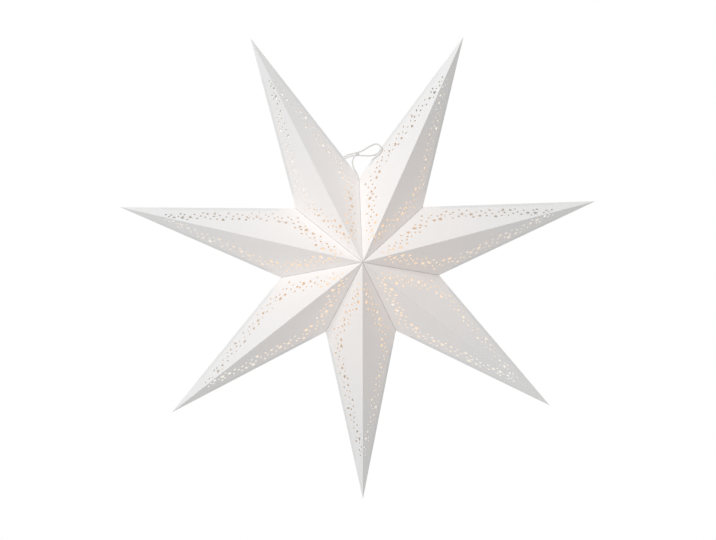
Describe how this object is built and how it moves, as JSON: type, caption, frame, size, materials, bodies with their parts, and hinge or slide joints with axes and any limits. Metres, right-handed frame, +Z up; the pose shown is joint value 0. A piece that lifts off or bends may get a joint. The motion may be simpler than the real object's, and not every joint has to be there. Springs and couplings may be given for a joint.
{
  "type": "folding paper star pendant lamp",
  "caption": "Hanging star lampshade of folded white card with pointed arms and star cut-outs, on a small screw-cap lampholder with a bulb and a tie string.",
  "frame": {"origin": "centre of the cord inlet mouth, at the top of the lampholder", "axes": "+Z up along the cord inlet, +X to the right seen from the front, -Y the front of the star"},
  "size_m": [0.5842, 0.1598, 0.5695],
  "materials": {
    "white_card": "matte white card, faintly translucent",
    "cotton_string": "twisted white cotton",
    "holder_plastic": "moulded white, slightly satin",
    "grip_plastic": "moulded, matte",
    "screw_steel": "zinc plated",
    "insulator_ceramic": "unglazed",
    "screw_brass": "turned",
    "shell_brass": "rolled sheet",
    "contact_brass": "sprung strip",
    "bulb_cap_nickel": "rolled, satin",
    "bulb_cap_glass": "black cap glass",
    "bulb_tip_solder": "solder",
    "frosted_glass": "frosted, warm white",
    "driver_plastic": "moulded",
    "emitter_phosphor": "phosphor coat"
  },
  "bodies": {
    "lampholder": {"gland_nut": "holder_plastic", "lampholder_cap": "holder_plastic", "lampholder_skirt": "holder_plastic", "cord_grip": "grip_plastic", "cord_grip_screws": "screw_steel", "terminal_block": "insulator_ceramic", "terminal_screws": "screw_brass", "screw_shell": "shell_brass", "centre_contact": "contact_brass"},
    "bulb": {"bulb_cap": "bulb_cap_nickel", "bulb_insulator": "bulb_cap_glass", "bulb_tip": "bulb_tip_solder", "bulb_glass": "frosted_glass", "bulb_driver": "driver_plastic", "bulb_emitter": "emitter_phosphor"},
    "arm_4_front_right": {"arm_4_front_right": "white_card"},
    "arm_4_front_left": {"arm_4_front_left": "white_card"},
    "arm_3_front_right": {"arm_3_front_right": "white_card"},
    "arm_3_front_left": {"arm_3_front_left": "white_card"},
    "arm_2_front_right": {"arm_2_front_right": "white_card"},
    "arm_2_front_left": {"arm_2_front_left": "white_card"},
    "arm_1_front_right": {"arm_1_front_right": "white_card"},
    "arm_1_front_left": {"arm_1_front_left": "white_card"},
    "arm_5_front_left": {"arm_5_front_left": "white_card"},
    "arm_5_front_right": {"arm_5_front_right": "white_card"},
    "arm_6_front_left": {"arm_6_front_left": "white_card"},
    "arm_6_front_right": {"arm_6_front_right": "white_card"},
    "arm_7_front_left": {"arm_7_front_left": "white_card"},
    "arm_7_front_right": {"arm_7_front_right": "white_card", "tie_string": "cotton_string", "tie_tail": "cotton_string", "tie_knot": "cotton_string"},
    "arm_1_back_left": {"arm_1_back_left": "white_card"},
    "arm_1_back_right": {"arm_1_back_right": "white_card"},
    "arm_2_back_left": {"arm_2_back_left": "white_card"},
    "arm_2_back_right": {"arm_2_back_right": "white_card"},
    "arm_3_back_left": {"arm_3_back_left": "white_card"},
    "arm_3_back_right": {"arm_3_back_right": "white_card"},
    "arm_4_back_left": {"arm_4_back_left": "white_card"},
    "arm_4_back_right": {"arm_4_back_right": "white_card"},
    "arm_5_back_left": {"arm_5_back_left": "white_card"},
    "arm_5_back_right": {"arm_5_back_right": "white_card"},
    "arm_6_back_left": {"arm_6_back_left": "white_card"},
    "arm_6_back_right": {"arm_6_back_right": "white_card"},
    "arm_7_back_left": {"arm_7_back_left": "white_card"},
    "arm_7_back_right": {"arm_7_back_right": "white_card"}
  },
  "joints": [
    {"name": "star_fold", "type": "hinge", "parent": "lampholder", "child": "arm_4_front_right", "pos_m": [0, 0, -0.388], "axis": [0.1088, 0.2886, -0.9512], "range_deg": [0, 34.72]},
    {"name": "arm_4_front_ridge", "type": "hinge", "parent": "arm_4_front_right", "child": "arm_4_front_left", "pos_m": [0, 0, -0.38552], "axis": [0, -0.2577, 0.9662], "range_deg": [0, 66.95]},
    {"name": "valley_3_4_front", "type": "hinge", "parent": "arm_4_front_left", "child": "arm_3_front_right", "pos_m": [0.04339, 0, -0.1781], "axis": [0.3388, 0.6247, -0.7035], "range_deg": [0, 88.62]},
    {"name": "arm_3_front_ridge", "type": "hinge", "parent": "arm_3_front_right", "child": "arm_3_front_left", "pos_m": [0.23261, 0, -0.2735], "axis": [-0.7554, -0.2577, 0.6024], "range_deg": [0, 66.95]},
    {"name": "valley_2_3_front", "type": "hinge", "parent": "arm_3_front_left", "child": "arm_2_front_right", "pos_m": [0.09749, 0, -0.11025], "axis": [0.7613, 0.6247, -0.1738], "range_deg": [0, 88.62]},
    {"name": "arm_2_front_ridge", "type": "hinge", "parent": "arm_2_front_right", "child": "arm_2_front_left", "pos_m": [0.29006, 0, -0.0218], "axis": [-0.942, -0.2577, -0.215], "range_deg": [0, 66.95]},
    {"name": "valley_1_2_front", "type": "hinge", "parent": "arm_2_front_left", "child": "arm_1_front_right", "pos_m": [0.07818, 0, -0.02565], "axis": [0.6105, 0.6247, 0.4869], "range_deg": [0, 88.62]},
    {"name": "arm_1_front_ridge", "type": "hinge", "parent": "arm_1_front_right", "child": "arm_1_front_left", "pos_m": [0.12909, 0, 0.18006], "axis": [-0.4192, -0.2577, -0.8705], "range_deg": [0, 66.95]},
    {"name": "valley_4_5_front", "type": "hinge", "parent": "arm_4_front_right", "child": "arm_5_front_left", "pos_m": [-0.04339, 0, -0.1781], "axis": [0.3388, -0.6247, 0.7035], "range_deg": [0, 88.62]},
    {"name": "arm_5_front_ridge", "type": "hinge", "parent": "arm_5_front_left", "child": "arm_5_front_right", "pos_m": [-0.23261, 0, -0.2735], "axis": [-0.7554, 0.2577, -0.6024], "range_deg": [0, 66.95]},
    {"name": "valley_5_6_front", "type": "hinge", "parent": "arm_5_front_right", "child": "arm_6_front_left", "pos_m": [-0.09749, 0, -0.11025], "axis": [0.7613, -0.6247, 0.1738], "range_deg": [0, 88.62]},
    {"name": "arm_6_front_ridge", "type": "hinge", "parent": "arm_6_front_left", "child": "arm_6_front_right", "pos_m": [-0.29006, 0, -0.0218], "axis": [-0.942, 0.2577, 0.215], "range_deg": [0, 66.95]},
    {"name": "valley_6_7_front", "type": "hinge", "parent": "arm_6_front_right", "child": "arm_7_front_left", "pos_m": [-0.07818, 0, -0.02565], "axis": [0.6105, -0.6247, -0.4869], "range_deg": [0, 88.62]},
    {"name": "arm_7_front_ridge", "type": "hinge", "parent": "arm_7_front_left", "child": "arm_7_front_right", "pos_m": [-0.12909, 0, 0.18006], "axis": [-0.4192, 0.2577, 0.8705], "range_deg": [0, 66.95]},
    {"name": "arm_1_left_edge", "type": "hinge", "parent": "arm_1_front_left", "child": "arm_1_back_left", "pos_m": [0.13017, 0, 0.18229], "axis": [0.6073, 0, 0.7945], "range_deg": [0, 66.41]},
    {"name": "arm_1_right_edge", "type": "hinge", "parent": "arm_1_front_right", "child": "arm_1_back_right", "pos_m": [0.13017, 0, 0.18229], "axis": [-0.2425, 0, -0.9701], "range_deg": [0, 66.41]},
    {"name": "arm_2_left_edge", "type": "hinge", "parent": "arm_2_front_left", "child": "arm_2_back_left", "pos_m": [0.29248, 0, -0.02124], "axis": [0.9998, 0, 0.0206], "range_deg": [0, 66.41]},
    {"name": "arm_2_right_edge", "type": "hinge", "parent": "arm_2_front_right", "child": "arm_2_back_right", "pos_m": [0.29248, 0, -0.02124], "axis": [-0.9097, 0, -0.4153], "range_deg": [0, 66.41]},
    {"name": "arm_3_left_edge", "type": "hinge", "parent": "arm_3_front_left", "child": "arm_3_back_left", "pos_m": [0.23455, 0, -0.27505], "axis": [0.6394, 0, -0.7688], "range_deg": [0, 66.41]},
    {"name": "arm_3_right_edge", "type": "hinge", "parent": "arm_3_front_right", "child": "arm_3_back_right", "pos_m": [0.23455, 0, -0.27505], "axis": [-0.8919, 0, 0.4523], "range_deg": [0, 66.41]},
    {"name": "arm_4_left_edge", "type": "hinge", "parent": "arm_4_front_left", "child": "arm_4_back_left", "pos_m": [0, 0, -0.388], "axis": [-0.2024, 0, -0.9793], "range_deg": [0, 66.41]},
    {"name": "arm_4_right_edge", "type": "hinge", "parent": "arm_4_front_right", "child": "arm_4_back_right", "pos_m": [0, 0, -0.388], "axis": [-0.2024, 0, 0.9793], "range_deg": [0, 66.41]},
    {"name": "arm_5_left_edge", "type": "hinge", "parent": "arm_5_front_left", "child": "arm_5_back_left", "pos_m": [-0.23455, 0, -0.27505], "axis": [-0.8919, 0, -0.4523], "range_deg": [0, 66.41]},
    {"name": "arm_5_right_edge", "type": "hinge", "parent": "arm_5_front_right", "child": "arm_5_back_right", "pos_m": [-0.23455, 0, -0.27505], "axis": [0.6394, 0, 0.7688], "range_deg": [0, 66.41]},
    {"name": "arm_6_left_edge", "type": "hinge", "parent": "arm_6_front_left", "child": "arm_6_back_left", "pos_m": [-0.29248, 0, -0.02124], "axis": [-0.9097, 0, 0.4153], "range_deg": [0, 66.41]},
    {"name": "arm_6_right_edge", "type": "hinge", "parent": "arm_6_front_right", "child": "arm_6_back_right", "pos_m": [-0.29248, 0, -0.02124], "axis": [0.9998, 0, -0.0206], "range_deg": [0, 66.41]},
    {"name": "arm_7_left_edge", "type": "hinge", "parent": "arm_7_front_left", "child": "arm_7_back_left", "pos_m": [-0.13017, 0, 0.18229], "axis": [-0.2425, 0, 0.9701], "range_deg": [0, 66.41]},
    {"name": "arm_7_right_edge", "type": "hinge", "parent": "arm_7_front_right", "child": "arm_7_back_right", "pos_m": [-0.13017, 0, 0.18229], "axis": [0.6073, 0, -0.7945], "range_deg": [0, 66.41]},
    {"name": "bulb_unscrew", "type": "slide", "parent": "lampholder", "child": "bulb", "axis": [0, 0, -1], "range_m": [0, 0.03]}
  ],
  "couplings": [
    {"joint": "arm_4_front_ridge", "follows": "star_fold", "ratio": 1.9281},
    {"joint": "valley_3_4_front", "follows": "star_fold", "ratio": 2.5522},
    {"joint": "arm_3_front_ridge", "follows": "star_fold", "ratio": 1.9281},
    {"joint": "valley_2_3_front", "follows": "star_fold", "ratio": 2.5522},
    {"joint": "arm_2_front_ridge", "follows": "star_fold", "ratio": 1.9281},
    {"joint": "valley_1_2_front", "follows": "star_fold", "ratio": 2.5522},
    {"joint": "arm_1_front_ridge", "follows": "star_fold", "ratio": 1.9281},
    {"joint": "valley_4_5_front", "follows": "star_fold", "ratio": 2.5522},
    {"joint": "arm_5_front_ridge", "follows": "star_fold", "ratio": 1.9281},
    {"joint": "valley_5_6_front", "follows": "star_fold", "ratio": 2.5522},
    {"joint": "arm_6_front_ridge", "follows": "star_fold", "ratio": 1.9281},
    {"joint": "valley_6_7_front", "follows": "star_fold", "ratio": 2.5522},
    {"joint": "arm_7_front_ridge", "follows": "star_fold", "ratio": 1.9281},
    {"joint": "arm_1_left_edge", "follows": "star_fold", "ratio": 1.9124},
    {"joint": "arm_1_right_edge", "follows": "star_fold", "ratio": 1.9124},
    {"joint": "arm_2_left_edge", "follows": "star_fold", "ratio": 1.9124},
    {"joint": "arm_2_right_edge", "follows": "star_fold", "ratio": 1.9124},
    {"joint": "arm_3_left_edge", "follows": "star_fold", "ratio": 1.9124},
    {"joint": "arm_3_right_edge", "follows": "star_fold", "ratio": 1.9124},
    {"joint": "arm_4_left_edge", "follows": "star_fold", "ratio": 1.9124},
    {"joint": "arm_4_right_edge", "follows": "star_fold", "ratio": 1.9124},
    {"joint": "arm_5_left_edge", "follows": "star_fold", "ratio": 1.9124},
    {"joint": "arm_5_right_edge", "follows": "star_fold", "ratio": 1.9124},
    {"joint": "arm_6_left_edge", "follows": "star_fold", "ratio": 1.9124},
    {"joint": "arm_6_right_edge", "follows": "star_fold", "ratio": 1.9124},
    {"joint": "arm_7_left_edge", "follows": "star_fold", "ratio": 1.9124},
    {"joint": "arm_7_right_edge", "follows": "star_fold", "ratio": 1.9124}
  ]
}
